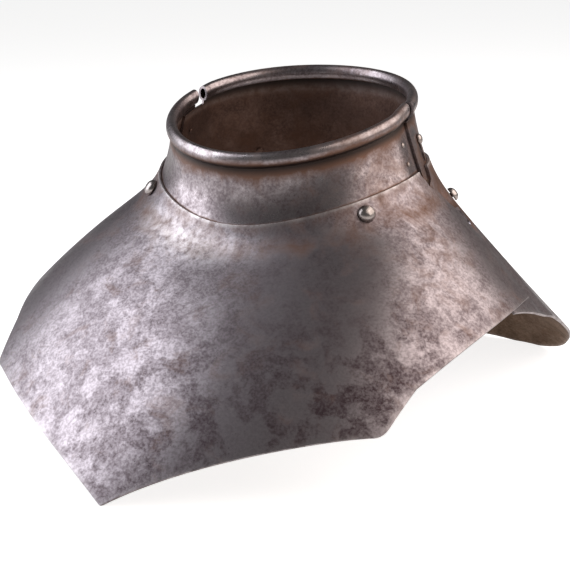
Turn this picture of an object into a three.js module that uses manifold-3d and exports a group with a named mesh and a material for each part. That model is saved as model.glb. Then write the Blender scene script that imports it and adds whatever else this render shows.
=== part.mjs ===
// Steel gorget: a front and a back plate, each riveted to its own half of a collar with a rolled rim.
// The halves are shown closed, turned on the tab rivet at the wearer's right (-X) and held by a stud
// in a keyhole at the wearer's left (+X). Millimetres, +Z up, the front point towards -Y.
// While it is built the neck axis is the Z axis. Angles are degrees round that axis from the front,
// towards +X, and distances run outward from the top edge of the plates' neck flange.
import * as THREE from 'three';
import { mergeVertices } from 'three/addons/utils/BufferGeometryUtils.js';
import Module from 'manifold-3d';

const wasm = await Module();
wasm.setup();

// Sheet and fits
const PLATE_SHEET = 1.6;
const COLLAR_SHEET = 1.4;
const SPRING_SHEET = 1;
const GAP = 0.3;
const LAP_GAP = 0.45;

// Rolled rim of the neck opening, at the centre of the roll
const RIM_HALF_WIDTH = 72.9;
const RIM_HALF_DEPTH = 72;
const RIM_SIDE_SHIFT = -1;
const RIM_HEIGHT = 183.6;
const RIM_TILT = 0.229;
const RIM_SADDLE = 1.7;
const ROLL_RADIUS = 3.5;
const ROLL_RISE = 1.1;

// Top edge of the plates' neck flange, where the collar goes in
const SEAM_HALF_WIDTH = 84.1;
const SEAM_HALF_DEPTH = 76.6;
const SEAM_HEIGHT = 147.8;
const SEAM_TILT = 0.147;
const SEAM_SADDLE = 6;
const SEAM_POINT_DEPTH = 1.9;
const SEAM_POINT_ANGLE = 29;
const NECK_FORWARD = 0.5;

// Form of the plates: a flare next to the neck, then seven sections from the front to the back.
// Flare is the section's share of the flare drop, slope is the fall for each mm outward, and bend is
// the further fall at the section reach, as a share of that reach.
const FLARE_DROP = 12;
const FLARE_REACH = 6.06;
const SECTION_REACH = 100;
const PLATE_SECTIONS = [
  { flare: 1, slope: 0.465, bend: 0.27 },
  { flare: 1, slope: 0.51, bend: 0.35 },
  { flare: 1, slope: 0.41, bend: 0.37 },
  { flare: 0.9, slope: 0.77, bend: 0.21 },
  { flare: 0.68, slope: 1.29, bend: -0.14 },
  { flare: 0.9, slope: 1.15, bend: -0.09 },
  { flare: 1, slope: 1.32, bend: 0.11 },
];
const SECTION_STEP = 180 / (PLATE_SECTIONS.length - 1);

// Outline of the front plate in plan, from the neck axis
const FRONT_POINT_REACH = 208.3;
const FRONT_CORNER_SIDE = 128.8;
const FRONT_CORNER_FORWARD = 132.7;
const ARM_KINK_SIDE = 135;
const ARM_KINK_FORWARD = 105;
const SHOULDER_TIP_SIDE = 146.8;
const SHOULDER_TIP_BACK = 23.5;
const FRONT_CORNER_CUT = 6;
const FRONT_LOWER_BOW = { left: 3, right: 5.5 };
const FRONT_ARM_BOW = 10.2;

// Outline of the back plate in plan, from the neck axis
const BACK_SHOULDER_SIDE = 152.5;
const BACK_SHOULDER_FORWARD = 9.4;
const BACK_ARM_SIDE = 161;
const BACK_ARM_BACK = 85;
const BACK_CORNER_SIDE = 112;
const BACK_CORNER_BACK = 180.5;
const BACK_CORNER_CUT = 34;
const BACK_POINT_REACH = 181;

// Height worn off each plate's lowest edge, which leaves small flats to stand on
const EDGE_WEAR = 0.6;

// Side edge of the front plate: its angle at distances from the flange top, up to the shoulder tip
const SIDE_EDGE = [
  { distance: 0, angle: 91 },
  { distance: 4, angle: 94 },
  { distance: 10, angle: 100 },
  { distance: 20, angle: 104 },
  { distance: 36, angle: 104 },
];

// How strongly the columns of a plate near its sides follow the side edge
const SIDE_FOLLOW = 3;

// The V notch between the flanges at each shoulder, and how far the back plate goes under the front
const NOTCH_TOP_ANGLE = 9.5;
const NOTCH_DEPTH = 6;
const NOTCH_SLIT = 1.6;
const UNDERLAP_START = 15;
const DIP_START = 3;
const DIP_WIDTH = 6;

// Collars
const LAP_REACH = 7.5;
const SHOULDER_LAP_REACH = 3;
const SHOULDER_LAP_ANGLE = 98;
const SHOULDER_LAP_HALF = 13;
const SHOULDER_LAP_BLEND = 8;
const WALL_HOLLOW = 0.42;
const CATCH_SPLIT = 95;
const CATCH_OVERLAP = 3.5;
const PIVOT_SPLIT = 93.3;
const PIVOT_OPENING = 5;
const TAB_OVERLAP = 12;
const TAB_TOP_DROP = 6.4;
const CATCH_TOP_DROP = 5.3;
const JOGGLE = 12;
const JOGGLE_LEAD = 2;
const END_CLEARANCE = 1.1;

// Rivets of the neck flange, two on each plate
const FRONT_RIVET_ANGLE = 58.2;
const BACK_RIVET_ANGLE = 135;
const RIVET_DISTANCE = 4;
const RIVET_LIFT = 0.6;
const RIVET_HEAD_RADIUS = 5.2;
const RIVET_HEAD_HEIGHT = 4;
const RIVET_SHANK_RADIUS = 1.5;
const RIVET_TAIL_RADIUS = 2.6;
const RIVET_TAIL_HEIGHT = 0.9;

// Catch: a spring leaf inside the collars with a mushroom stud that stands in a keyhole
const SPRING_START = 80;
const SPRING_RUN_ON = 11;
const SPRING_FOOT = 0.12;
const SPRING_TOP = 0.77;
const SPRING_STEP = 2.5;
const STUD_ANGLE = 104.5;
const STUD_SHARE = 0.53;
const STUD_HEAD_RADIUS = 3.4;
const STUD_HEAD_HEIGHT = 2.4;
const STUD_NECK_RADIUS = 1.7;
const KEYHOLE_DROP = 10;
const KEYHOLE_RADIUS = 3.9;
const PIN_ANGLE = 87.3;
const PIN_SHARES = { upper: 0.66, lower: 0.26 };
const PIN_HEAD_RADIUS = 1.6;
const PIN_HEAD_HEIGHT = 0.7;
const PIN_SHANK_RADIUS = 0.8;
const TAB_RIVET_ANGLE = 90.5;
const TAB_RIVET_SHARE = 0.5;
const TAB_RIVET_HEAD_RADIUS = 2.6;
const TAB_RIVET_HEAD_HEIGHT = 1.4;

// Stud and pierced slot on the back plate, behind the front plate's left side edge
const SHOULDER_STUD_ANGLE = 117;
const SHOULDER_STUD_DISTANCE = 14.2;
const SHOULDER_STUD_RADIUS = 4.6;
const SHOULDER_STUD_HEIGHT = 3.6;
const SHOULDER_SLOT_ANGLE = 109;
const SHOULDER_SLOT_DISTANCE = 22.4;
const SHOULDER_SLOT_LENGTH = 14;
const SHOULDER_SLOT_WIDTH = 7;

// Fineness of the meshes
const FINENESS = {
  lowerEdge: 11, frontCorner: 2, kinkEdge: 2, armEdge: 8, backArmEdge: 12, backCorner: 6,
  backLowerEdge: 5, flareRows: 5, fieldRows: 6, lapRows: 3, collarSteps: 32, curlOuter: 8,
  curlInner: 6, cutterSteps: 6, springSteps: 10, roundSides: 10, domeRings: 2,
};
const FLARE_ROWS_REACH = 18;
const FIELD_ROW_GROWTH = 1.15;
const WALL_ROWS = [0, 0.35, 0.7];
const SECTION_SPACING = 1.5;

const PLATE_STEP = PLATE_SHEET + GAP;
const COLLAR_STEP = COLLAR_SHEET + GAP;
const DRILL_LENGTH = 6 * PLATE_STEP;
const DEGREE = Math.PI / 180;

/** Eases from 0 at one value to 1 at another, level at both ends. */
function ease(value, from, to) {
  const share = THREE.MathUtils.clamp((value - from) / (to - from), 0, 1);
  return share * share * (3 - 2 * share);
}

/** Brings any angle into the half turn from front (0) to back (180), because both sides are alike. */
function halfTurn(angle) {
  const turned = Math.abs(angle) % 360;
  return turned > 180 ? 360 - turned : turned;
}

/** Point at an angle round the neck, a radius from its axis and a height. */
function around(angle, radius, height) {
  return new THREE.Vector3(radius * Math.sin(angle * DEGREE), -radius * Math.cos(angle * DEGREE), height);
}

/** Radius of an oval round the neck axis, moved forward a little. */
function ovalRadius(angle, halfWidth, halfDepth) {
  const sine = Math.sin(angle * DEGREE);
  const cosine = Math.cos(angle * DEGREE);
  return 1 / Math.hypot(sine / halfWidth, cosine / halfDepth) + NECK_FORWARD * cosine;
}

function seamRadius(angle) {
  return ovalRadius(angle, SEAM_HALF_WIDTH, SEAM_HALF_DEPTH);
}

/** The flange top rises to the back and at the sides, with a shallow V point at the front centre. */
function seamHeight(angle) {
  const toBack = -seamRadius(angle) * Math.cos(angle * DEGREE);
  const saddle = SEAM_SADDLE * Math.cos(2 * angle * DEGREE);
  const point = SEAM_POINT_DEPTH * Math.exp(-((halfTurn(angle) / SEAM_POINT_ANGLE) ** 2));
  return SEAM_HEIGHT + SEAM_TILT * toBack - saddle - point;
}

function rimRadius(angle) {
  return ovalRadius(angle, RIM_HALF_WIDTH, RIM_HALF_DEPTH) + RIM_SIDE_SHIFT * Math.sin(angle * DEGREE);
}

function rimHeight(angle) {
  const toBack = -rimRadius(angle) * Math.cos(angle * DEGREE);
  return RIM_HEIGHT + RIM_TILT * toBack - RIM_SADDLE * Math.cos(2 * angle * DEGREE);
}

/** A value of the plate sections at an angle, blended by a cubic spline that is even at both ends. */
function sectionValue(name, angle) {
  const last = PLATE_SECTIONS.length - 1;
  const place = halfTurn(angle) / SECTION_STEP;
  const index = Math.min(Math.floor(place), last - 1);
  const t = place - index;
  const weights = [(1 - t) ** 3, 3 * t ** 3 - 6 * t ** 2 + 4, -3 * t ** 3 + 3 * t ** 2 + 3 * t + 1, t ** 3];
  let sum = 0;
  weights.forEach((weight, step) => {
    const mirrored = Math.abs(index + step - 1);
    const section = PLATE_SECTIONS[mirrored > last ? 2 * last - mirrored : mirrored];
    sum += weight * section[name] / 6;
  });
  return sum;
}

/** How far a plate has fallen below the flange top at a distance outward from it. */
function drop(angle, distance) {
  const flare = sectionValue('flare', angle) * FLARE_DROP * (1 - Math.exp(-distance / FLARE_REACH));
  const field = sectionValue('slope', angle) * distance
    + sectionValue('bend', angle) * distance ** 2 / SECTION_REACH;
  return flare + field;
}

function dropSlope(angle, distance) {
  const flareStart = sectionValue('flare', angle) * FLARE_DROP / FLARE_REACH;
  const flare = flareStart * Math.exp(-distance / FLARE_REACH);
  return flare + sectionValue('slope', angle) + 2 * sectionValue('bend', angle) * distance / SECTION_REACH;
}

/** Section point (radius, height) at a depth below the outer face of the plates, square to that face. */
function shellSection(angle, distance, depth) {
  const slope = dropSlope(angle, distance);
  const length = Math.hypot(slope, 1);
  const radius = seamRadius(angle) + distance - depth * slope / length;
  return new THREE.Vector2(radius, seamHeight(angle) - drop(angle, distance) - depth / length);
}

function shellPoint(angle, distance, depth) {
  const section = shellSection(angle, distance, depth);
  return around(angle, section.x, section.y);
}

/** Sweeps closed sections of equal length, in order of angle, into one closed solid with flat ends. */
function sweep(sections, outlines) {
  const count = sections[0].length;
  const positions = sections.flatMap((section) => section.flatMap((point) => point.toArray()));
  const index = [];
  for (let row = 0; row < sections.length - 1; row += 1) {
    for (let step = 0; step < count; step += 1) {
      const next = (step + 1) % count;
      const [a, b] = [row * count + step, row * count + next];
      const [c, d] = [a + count, b + count];
      index.push(a, c, b, b, c, d);
    }
  }
  const lastRow = (sections.length - 1) * count;
  for (const [a, b, c] of THREE.ShapeUtils.triangulateShape(outlines[0], [])) {
    index.push(a, b, c);
  }
  for (const [a, b, c] of THREE.ShapeUtils.triangulateShape(outlines[1], [])) {
    index.push(lastRow + a, lastRow + c, lastRow + b);
  }
  const geometry = new THREE.BufferGeometry();
  geometry.setAttribute('position', new THREE.Float32BufferAttribute(positions, 3));
  geometry.setIndex(index);
  return geometry;
}

/** Turns a closed geometry into a solid for joining and cutting. */
function toSolid(geometry) {
  const bare = geometry.clone();
  bare.deleteAttribute('normal');
  bare.deleteAttribute('uv');
  const merged = mergeVertices(bare, 1e-4);
  return new wasm.Manifold(new wasm.Mesh({
    numProp: 3,
    vertProperties: new Float32Array(merged.attributes.position.array),
    triVerts: new Uint32Array(merged.index.array),
  }));
}

function toGeometry(solid) {
  const mesh = solid.getMesh();
  const geometry = new THREE.BufferGeometry();
  geometry.setAttribute('position', new THREE.BufferAttribute(new Float32Array(mesh.vertProperties), 3));
  geometry.setIndex(new THREE.BufferAttribute(new Uint32Array(mesh.triVerts), 1));
  return geometry;
}

/** Cuts a list of closed geometries out of one geometry. */
function cutAway(geometry, cutters) {
  let solid = toSolid(geometry);
  for (const cutter of cutters) {
    solid = solid.subtract(toSolid(cutter));
  }
  return toGeometry(solid);
}

/** Place on a surface: X round the neck, Y up the surface, Z straight out of it. */
function placeOn(surface, angle, travel) {
  const step = 0.1;
  const sideways = surface(angle + step, travel).sub(surface(angle - step, travel)).normalize();
  const downward = surface(angle, travel + step).sub(surface(angle, travel - step)).normalize();
  const outward = downward.clone().cross(sideways).normalize();
  const upward = outward.clone().cross(sideways).normalize();
  const place = new THREE.Matrix4().makeBasis(sideways, upward, outward);
  return place.setPosition(surface(angle, travel));
}

/** A round hole through the sheets at a place. */
function drillAt(place, radius) {
  const cutter = new THREE.CylinderGeometry(radius, radius, DRILL_LENGTH, FINENESS.roundSides);
  cutter.rotateX(Math.PI / 2);
  return cutter.applyMatrix4(place);
}

/** A flat shape cut straight through the sheet at a place, to a depth on both sides of it. */
function punchAt(place, shape, depth) {
  const cutter = new THREE.ExtrudeGeometry(shape, {
    depth: 2 * depth, bevelEnabled: false, curveSegments: FINENESS.roundSides / 2,
  });
  cutter.translate(0, 0, -depth);
  return cutter.applyMatrix4(place);
}

/** Rivet or stud along its own Y axis: a domed head, a shank down through the grip and a flat tail. */
function rivetGeometry(headRadius, headHeight, shankRadius, grip, tailRadius) {
  const tailTop = -grip;
  const tailFoot = tailTop - RIVET_TAIL_HEIGHT;
  const profile = [[0, tailFoot], [tailRadius, tailFoot], [tailRadius, tailTop], [shankRadius, tailTop],
    [shankRadius, 0]];
  for (let ring = 0; ring <= FINENESS.domeRings; ring += 1) {
    const rise = ring / FINENESS.domeRings * Math.PI / 2;
    const radius = ring === FINENESS.domeRings ? 0 : headRadius * Math.cos(rise);
    profile.push([radius, headHeight * Math.sin(rise)]);
  }
  return new THREE.LatheGeometry(profile.map(([x, y]) => new THREE.Vector2(x, y)), FINENESS.roundSides);
}

/** Stands a rivet on its place, the head's underside a little above the sheet. */
function standOn(mesh, place, lift = GAP) {
  const upright = place.clone().multiply(new THREE.Matrix4().makeTranslation(0, 0, lift));
  upright.multiply(new THREE.Matrix4().makeRotationX(Math.PI / 2));
  upright.decompose(mesh.position, mesh.quaternion, mesh.scale);
  return mesh;
}

// Outlines of the plates in plan

/** Points from one corner to another along an edge that bows outward by the given height. */
function bowedEdge(from, to, bow, steps) {
  const run = to.clone().sub(from);
  const outward = new THREE.Vector2(run.y, -run.x).normalize();
  return Array.from({ length: steps + 1 }, (_, step) => {
    const share = step / steps;
    return from.clone().addScaledVector(run, share).addScaledVector(outward, 4 * bow * share * (1 - share));
  });
}

/** Points of an arc that rounds a corner off between two points, both ends left out. */
function roundedCorner(from, corner, to, steps) {
  return Array.from({ length: steps - 1 }, (_, step) => {
    const share = (step + 1) / steps;
    return from.clone().lerp(corner, share).lerp(corner.clone().lerp(to, share), share);
  });
}

/** Point on the way from a corner to another point, at a distance from the corner. */
function besideCorner(corner, other, distance) {
  return other.clone().sub(corner).setLength(distance).add(corner);
}

/** Half outline of the front plate, from the front point to the shoulder tip. */
function frontOutline(lowerBow) {
  const point = new THREE.Vector2(0, -FRONT_POINT_REACH);
  const corner = new THREE.Vector2(FRONT_CORNER_SIDE, -FRONT_CORNER_FORWARD);
  const kink = new THREE.Vector2(ARM_KINK_SIDE, -ARM_KINK_FORWARD);
  const tip = new THREE.Vector2(SHOULDER_TIP_SIDE, SHOULDER_TIP_BACK);
  const before = besideCorner(corner, point, FRONT_CORNER_CUT);
  const after = besideCorner(corner, kink, FRONT_CORNER_CUT);
  return [
    ...bowedEdge(point, before, lowerBow, FINENESS.lowerEdge),
    ...roundedCorner(before, corner, after, FINENESS.frontCorner),
    ...bowedEdge(after, kink, 0, FINENESS.kinkEdge),
    ...bowedEdge(kink, tip, FRONT_ARM_BOW, FINENESS.armEdge).slice(1),
  ];
}

/** Half outline of the back plate, from the hidden shoulder round its corner to the back centre. */
function backOutline() {
  const shoulder = new THREE.Vector2(BACK_SHOULDER_SIDE, -BACK_SHOULDER_FORWARD);
  const arm = new THREE.Vector2(BACK_ARM_SIDE, BACK_ARM_BACK);
  const corner = new THREE.Vector2(BACK_CORNER_SIDE, BACK_CORNER_BACK);
  const centre = new THREE.Vector2(0, BACK_POINT_REACH);
  const before = besideCorner(corner, arm, BACK_CORNER_CUT);
  const after = besideCorner(corner, centre, BACK_CORNER_CUT);
  return [
    shoulder,
    ...roundedCorner(shoulder, arm, before, FINENESS.backArmEdge),
    before,
    ...roundedCorner(before, corner, after, FINENESS.backCorner),
    ...bowedEdge(after, centre, 0, FINENESS.backLowerEdge),
  ];
}

function planAngle(point) {
  return Math.atan2(point.x, -point.y) / DEGREE;
}

/** Angle of the front plate's side edge at a distance from the flange top. */
function sideEdgeAngle(distance) {
  const tip = new THREE.Vector2(SHOULDER_TIP_SIDE, SHOULDER_TIP_BACK);
  const tipAngle = planAngle(tip);
  const rows = [...SIDE_EDGE, { distance: tip.length() - seamRadius(tipAngle), angle: tipAngle }];
  for (let row = 1; row < rows.length; row += 1) {
    if (distance < rows[row].distance) {
      const share = ease(distance, rows[row - 1].distance, rows[row].distance);
      return THREE.MathUtils.lerp(rows[row - 1].angle, rows[row].angle, share);
    }
  }
  return tipAngle;
}

/** Angle of the back plate's side edge: a V notch at the flange, a slit, then under the front plate. */
function backEdgeAngle(distance) {
  const hidden = planAngle(new THREE.Vector2(BACK_SHOULDER_SIDE, -BACK_SHOULDER_FORWARD));
  const open = THREE.MathUtils.lerp(NOTCH_TOP_ANGLE, NOTCH_SLIT, ease(distance, 0, NOTCH_DEPTH));
  const beside = sideEdgeAngle(distance) + open;
  return THREE.MathUtils.lerp(beside, hidden, ease(distance, NOTCH_DEPTH, UNDERLAP_START + NOTCH_DEPTH));
}

/** Distances of the rows of a plate, close together in the flare and wider towards the edge. */
function rowDistances(reach) {
  const flareEnd = Math.min(FLARE_ROWS_REACH, reach / 3);
  const rows = [];
  for (let row = 0; row < FINENESS.flareRows; row += 1) {
    rows.push(flareEnd * row / FINENESS.flareRows);
  }
  for (let row = 0; row <= FINENESS.fieldRows; row += 1) {
    rows.push(THREE.MathUtils.lerp(flareEnd, reach, (row / FINENESS.fieldRows) ** FIELD_ROW_GROWTH));
  }
  return rows;
}

/**
 * One plate as a sheet: columns run from the flange top to the points of the whole outline, and those
 * near the sides bend to follow the side edge. The depth tells how deep its outer face lies.
 */
function plateGeometry(outline, middle, edgeAngle, depthAt) {
  const columns = outline.map((end) => {
    const endAngle = planAngle(end);
    const turn = middle === 180 ? THREE.MathUtils.euclideanModulo(endAngle, 360) - 180 : endAngle;
    const reach = end.length() - seamRadius(endAngle);
    return { turn, reach };
  });
  const widest = Math.abs(columns[0].turn);
  const tops = [];
  const sections = columns.map(({ turn, reach }) => {
    const sideShare = (Math.abs(turn) / widest) ** SIDE_FOLLOW;
    const outer = [];
    const inner = [];
    for (const distance of rowDistances(reach)) {
      const edgeTurn = Math.abs(edgeAngle(distance) - middle) / widest;
      const angle = middle + turn * (1 + sideShare * (edgeTurn - 1));
      const depth = depthAt(angle, distance);
      outer.push({ angle, section: shellSection(angle, distance, depth) });
      inner.push({ angle, section: shellSection(angle, distance, depth + PLATE_SHEET) });
    }
    const ring = [...inner, ...outer.reverse()];
    tops.push(ring.map(({ section }) => section));
    return ring.map(({ angle, section }) => around(angle, section.x, section.y));
  });
  return sweep(sections, [tops[0], tops[tops.length - 1]]);
}

/** The back plate lies flush with the front at the flange and dips under it outside the notch. */
function backDepth(angle, distance) {
  const beside = halfTurn(angle) - sideEdgeAngle(distance);
  const byShoulder = 1 - ease(beside, DIP_START, DIP_START + DIP_WIDTH);
  return (PLATE_SHEET + LAP_GAP) * byShoulder * ease(distance, SHOULDER_LAP_REACH, NOTCH_DEPTH);
}

// Places of the flange rivets and of the shoulder stud and slot
const plateFace = (angle, distance) => shellPoint(angle, distance, 0);
const backPlateFace = (angle, distance) => shellPoint(angle, distance, backDepth(angle, distance));
const rivetPlaces = {
  front_rivet_left: placeOn(plateFace, FRONT_RIVET_ANGLE, RIVET_DISTANCE),
  front_rivet_right: placeOn(plateFace, -FRONT_RIVET_ANGLE, RIVET_DISTANCE),
  back_rivet_left: placeOn(plateFace, BACK_RIVET_ANGLE, RIVET_DISTANCE),
  back_rivet_right: placeOn(plateFace, -BACK_RIVET_ANGLE, RIVET_DISTANCE),
};
const shoulderStudPlace = placeOn(backPlateFace, SHOULDER_STUD_ANGLE, SHOULDER_STUD_DISTANCE);
const shoulderSlotPlace = placeOn(backPlateFace, SHOULDER_SLOT_ANGLE, SHOULDER_SLOT_DISTANCE);

/** A slot with round ends along the surface. */
function slotShape(length, width) {
  const half = length / 2 - width / 2;
  const shape = new THREE.Shape();
  shape.absarc(0, half, width / 2, 0, Math.PI);
  shape.absarc(0, -half, width / 2, Math.PI, 2 * Math.PI);
  shape.closePath();
  return shape;
}

/** Holes for the shanks of the named rivets. */
function rivetHoles(names) {
  return names.map((name) => drillAt(rivetPlaces[name], RIVET_SHANK_RADIUS + GAP));
}

/** Block below a plate that wears its lowest edge flat. */
function wearBlock(sheet) {
  sheet.computeBoundingBox();
  const { min, max } = sheet.boundingBox;
  const block = new THREE.BoxGeometry(2 * max.x, 2 * (max.y - min.y), 2 * EDGE_WEAR);
  return block.translate(0, (min.y + max.y) / 2, min.z);
}

function frontPlate() {
  const left = frontOutline(FRONT_LOWER_BOW.left);
  const right = frontOutline(FRONT_LOWER_BOW.right).slice(1);
  const mirrored = right.map((point) => new THREE.Vector2(-point.x, point.y)).reverse();
  const sheet = plateGeometry([...mirrored, ...left], 0, sideEdgeAngle, () => 0);
  return cutAway(sheet, [wearBlock(sheet), ...rivetHoles(['front_rivet_left', 'front_rivet_right'])]);
}

function backPlate() {
  const half = backOutline();
  const mirrored = half.slice(0, -1).map((point) => new THREE.Vector2(-point.x, point.y)).reverse();
  const sheet = plateGeometry([...half, ...mirrored], 180, backEdgeAngle, backDepth);
  const slot = punchAt(shoulderSlotPlace, slotShape(SHOULDER_SLOT_LENGTH, SHOULDER_SLOT_WIDTH), PLATE_STEP);
  const studHole = drillAt(shoulderStudPlace, RIVET_SHANK_RADIUS + GAP);
  const holes = rivetHoles(['back_rivet_left', 'back_rivet_right']);
  return cutAway(sheet, [wearBlock(sheet), slot, studHole, ...holes]);
}

// Collars

const CATCH_END = CATCH_SPLIT + CATCH_OVERLAP;
const PIVOT_RIM_START = 360 - PIVOT_SPLIT - PIVOT_OPENING;
const TAB_END = 360 - PIVOT_SPLIT + TAB_OVERLAP;

const FRONT_INSIDE = CATCH_SPLIT - JOGGLE_LEAD;
const BACK_INSIDE = 360 - PIVOT_SPLIT - JOGGLE_LEAD;

/** The front collar steps inward where it goes under the back collar at the catch. */
function frontInset(angle) {
  return COLLAR_STEP * ease(angle, FRONT_INSIDE - JOGGLE, FRONT_INSIDE);
}

/** The back collar steps inward where its tab goes inside the front collar at the pivot. */
function backInset(angle) {
  return COLLAR_STEP * ease(angle, BACK_INSIDE - JOGGLE, BACK_INSIDE);
}

/** Angles of the sections through a step inward that ends at an angle. */
function joggleAngles(inside) {
  return [1, 0.75, 0.5, 0.25, 0].map((share) => inside - share * JOGGLE);
}

/** The collars reach less far down inside the flanges next to the notch at each shoulder. */
function lapReach(angle) {
  const fromMiddle = Math.abs(halfTurn(angle) - SHOULDER_LAP_ANGLE);
  const outside = ease(fromMiddle, SHOULDER_LAP_HALF, SHOULDER_LAP_HALF + SHOULDER_LAP_BLEND);
  return THREE.MathUtils.lerp(SHOULDER_LAP_REACH, LAP_REACH, outside);
}

/** Point of the wall between the flange top (share 0) and the roll (share 1), at a depth in it. */
function wallSection(angle, share, inset, depth) {
  const foot = shellSection(angle, 0, PLATE_STEP + inset);
  const slope = dropSlope(angle, 0);
  const half = COLLAR_SHEET / 2;
  const head = new THREE.Vector2(rimRadius(angle) - inset + half, rimHeight(angle));
  head.y -= (ROLL_RADIUS + ROLL_RISE) * Math.cos(Math.asin(half / ROLL_RADIUS));
  const lean = new THREE.Vector2(-1, slope).setLength(WALL_HOLLOW * head.distanceTo(foot)).add(foot);
  const path = new THREE.QuadraticBezierCurve(foot, lean, head);
  const tangent = path.getTangent(share);
  return path.getPoint(share).add(new THREE.Vector2(-tangent.y, tangent.x).multiplyScalar(depth));
}

/**
 * Section of a collar at an angle: the lap inside the flange, the wall, and the sheet rolled outward,
 * over and down on the inside until it nearly meets the wall again. The roll is taller than wide.
 */
function collarSection(angle, inset) {
  const half = COLLAR_SHEET / 2;
  const boreRadius = ROLL_RADIUS - COLLAR_SHEET;
  const centre = new THREE.Vector2(rimRadius(angle) - inset, rimHeight(angle));
  const outer = [];
  const inner = [];
  for (let row = FINENESS.lapRows; row > 0; row -= 1) {
    const distance = lapReach(angle) * row / FINENESS.lapRows;
    outer.push(shellSection(angle, distance, PLATE_STEP + inset));
    inner.push(shellSection(angle, distance, PLATE_STEP + inset + COLLAR_SHEET));
  }
  for (const share of WALL_ROWS) {
    outer.push(wallSection(angle, share, inset, 0));
    inner.push(wallSection(angle, share, inset, COLLAR_SHEET));
  }
  const onRoll = (radius, turn) => (
    new THREE.Vector2(radius * Math.sin(turn), -(radius + ROLL_RISE) * Math.cos(turn)).add(centre));
  const outerStart = Math.asin(half / ROLL_RADIUS);
  const outerEnd = 2 * Math.PI - Math.asin((half + GAP) / ROLL_RADIUS);
  for (let step = 0; step <= FINENESS.curlOuter; step += 1) {
    outer.push(onRoll(ROLL_RADIUS, THREE.MathUtils.lerp(outerStart, outerEnd, step / FINENESS.curlOuter)));
  }
  const innerStart = -Math.asin(half / boreRadius);
  const innerEnd = 2 * Math.PI - Math.asin((half + GAP) / boreRadius);
  for (let step = 0; step <= FINENESS.curlInner; step += 1) {
    inner.push(onRoll(boreRadius, THREE.MathUtils.lerp(innerStart, innerEnd, step / FINENESS.curlInner)));
  }
  return [...outer, ...inner.reverse()];
}

/** Angles in even steps from one to another, and those between at which the form changes. */
function sectionAngles(start, end, steps, changes) {
  const even = Array.from({ length: steps + 1 }, (_, step) => THREE.MathUtils.lerp(start, end, step / steps));
  const isFree = (angle) => changes.every((change) => Math.abs(change - angle) > SECTION_SPACING);
  return [start, ...even.slice(1, -1).filter(isFree), ...changes, end].sort((a, b) => a - b);
}

/** Sweeps a collar from one angle to another, with sections of its own at the angles where it changes. */
function collarGeometry(start, end, changes, sectionAt) {
  const angles = sectionAngles(start, end, FINENESS.collarSteps, changes);
  const outlines = angles.map(sectionAt);
  const sections = outlines.map((outline, row) => outline.map(({ x, y }) => around(angles[row], x, y)));
  return sweep(sections, [outlines[0], outlines[outlines.length - 1]]);
}

const collarFace = (inset) => (angle, travel) => {
  const section = wallSection(angle, -travel, inset, 0);
  return around(angle, section.x, section.y);
};
const pinPlaces = {
  catch_rivet_upper: placeOn(collarFace(frontInset(PIN_ANGLE)), PIN_ANGLE, -PIN_SHARES.upper),
  catch_rivet_lower: placeOn(collarFace(frontInset(PIN_ANGLE)), PIN_ANGLE, -PIN_SHARES.lower),
};
const studPlace = placeOn(collarFace(0), STUD_ANGLE, -STUD_SHARE);
const tabRivetPlace = placeOn(collarFace(0), -TAB_RIVET_ANGLE, -TAB_RIVET_SHARE);

/** Keyhole: a slot as wide as the stud's neck above, opening into a round that passes its head. */
function keyholeShape() {
  const half = STUD_NECK_RADIUS + GAP;
  const corner = Math.asin(half / KEYHOLE_RADIUS);
  const shape = new THREE.Shape();
  shape.absarc(0, 0, half, 0, Math.PI);
  shape.absarc(0, -KEYHOLE_DROP, KEYHOLE_RADIUS, Math.PI / 2 + corner, 5 * Math.PI / 2 - corner);
  shape.closePath();
  return shape;
}

function pinHoles() {
  return Object.values(pinPlaces).map((place) => drillAt(place, PIN_SHANK_RADIUS + GAP));
}

function frontCollar() {
  const sheet = collarGeometry(-PIVOT_SPLIT, CATCH_END, joggleAngles(FRONT_INSIDE), (angle) => (
    collarSection(angle, frontInset(angle))));
  const tabHole = drillAt(tabRivetPlace, PIN_SHANK_RADIUS + GAP);
  return cutAway(sheet, [tabHole, ...pinHoles(), ...rivetHoles(['front_rivet_left', 'front_rivet_right'])]);
}

/** Block that takes the roll off a collar between two angles, down to a depth below its middle. */
function rollCutter(start, end, depth) {
  const steps = FINENESS.cutterSteps;
  const margin = 4 * ROLL_RADIUS;
  const angles = sectionAngles(start, end, steps, []);
  const outlines = angles.map((angle) => {
    const foot = rimHeight(angle) - depth;
    const top = rimHeight(angle) + margin;
    const [inside, outside] = [rimRadius(angle) - margin, rimRadius(angle) + margin];
    const corners = [[outside, foot], [outside, top], [inside, top], [inside, foot]];
    return corners.map(([x, y]) => new THREE.Vector2(x, y));
  });
  const sections = outlines.map((outline, row) => outline.map(({ x, y }) => around(angles[row], x, y)));
  return sweep(sections, [outlines[0], outlines[steps]]);
}

function backCollar() {
  const sheet = collarGeometry(CATCH_SPLIT, TAB_END, joggleAngles(BACK_INSIDE), (angle) => (
    collarSection(angle, backInset(angle))));
  const keyhole = punchAt(studPlace, keyholeShape(), 2 * COLLAR_STEP);
  const tabHole = drillAt(tabRivetPlace, PIN_SHANK_RADIUS + GAP);
  const holes = rivetHoles(['back_rivet_left', 'back_rivet_right']);
  const tabTop = rollCutter(PIVOT_RIM_START, TAB_END + END_CLEARANCE, TAB_TOP_DROP);
  const catchTop = rollCutter(CATCH_SPLIT - END_CLEARANCE, CATCH_END + END_CLEARANCE, CATCH_TOP_DROP);
  return cutAway(sheet, [tabTop, catchTop, keyhole, tabHole, ...holes]);
}

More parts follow.
